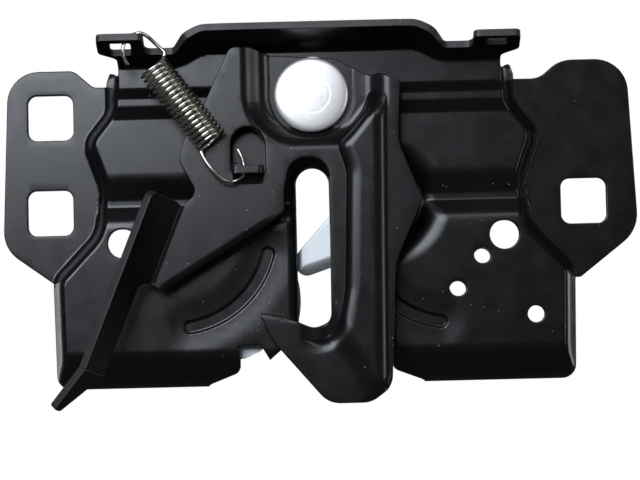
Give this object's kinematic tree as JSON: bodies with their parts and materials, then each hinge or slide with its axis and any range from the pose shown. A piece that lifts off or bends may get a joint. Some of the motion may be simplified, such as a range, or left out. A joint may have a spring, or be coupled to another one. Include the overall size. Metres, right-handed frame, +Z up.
{
  "type": "bonnet latch",
  "caption": "Stamped bonnet latch with a slotted carrier plate, zinc fork bolt and pawl, and a sprung safety lever with a hook and release tab on a large rivet.",
  "frame": {"origin": "on the striker's line, 0.9 mm above the large round holes, on the wings' seating face", "axes": "+X to the right seen from the front, +Y from the front to the seating side, +Z up as in the picture, towards the inclined flange"},
  "size_m": [0.2276, 0.0518, 0.1345],
  "materials": {
    "black_coat": "satin black coat",
    "black_lever": "satin black coat",
    "zinc_plate": "bright zinc plate",
    "zinc_rivet": "bright zinc plate",
    "bush_metal": "plain ground steel",
    "spring_wire": "bright drawn wire"
  },
  "bodies": {
    "base": {"base_plate": "black_coat", "back_plate": "zinc_plate", "fork_bolt_rivet": "zinc_rivet", "pawl_rivet": "zinc_rivet", "spacer_rivets": "zinc_rivet", "pivot_rivet": "zinc_rivet", "pivot_washer": "zinc_rivet", "lever_spring": "spring_wire", "fork_bolt_spring": "spring_wire", "pawl_spring": "spring_wire"},
    "lever": {"safety_lever": "black_lever", "pivot_bush": "bush_metal"},
    "fork": {"fork_bolt": "zinc_plate", "fork_bolt_bush": "bush_metal"},
    "detent": {"pawl": "zinc_plate", "pawl_bush": "bush_metal"}
  },
  "joints": [
    {"name": "lever_swing", "type": "hinge", "parent": "base", "child": "lever", "pos_m": [0.0005, 0, 0.0495], "axis": [0, -1, 0], "range_deg": [0, 22], "stiffness_Nm_per_rad": 0.6, "springref_deg": -20.05, "deforming": ["lever_spring"]},
    {"name": "fork_turn", "type": "hinge", "parent": "base", "child": "fork", "pos_m": [0.026, 0, 0.012], "axis": [0, 1, 0], "range_deg": [0, 42], "stiffness_Nm_per_rad": 0.2, "springref_deg": -34.38, "deforming": ["fork_bolt_spring"]},
    {"name": "pawl_turn", "type": "hinge", "parent": "base", "child": "detent", "pos_m": [-0.027, 0, 0.015], "axis": [0, -1, 0], "range_deg": [0, 10], "deforming": ["pawl_spring"]}
  ]
}
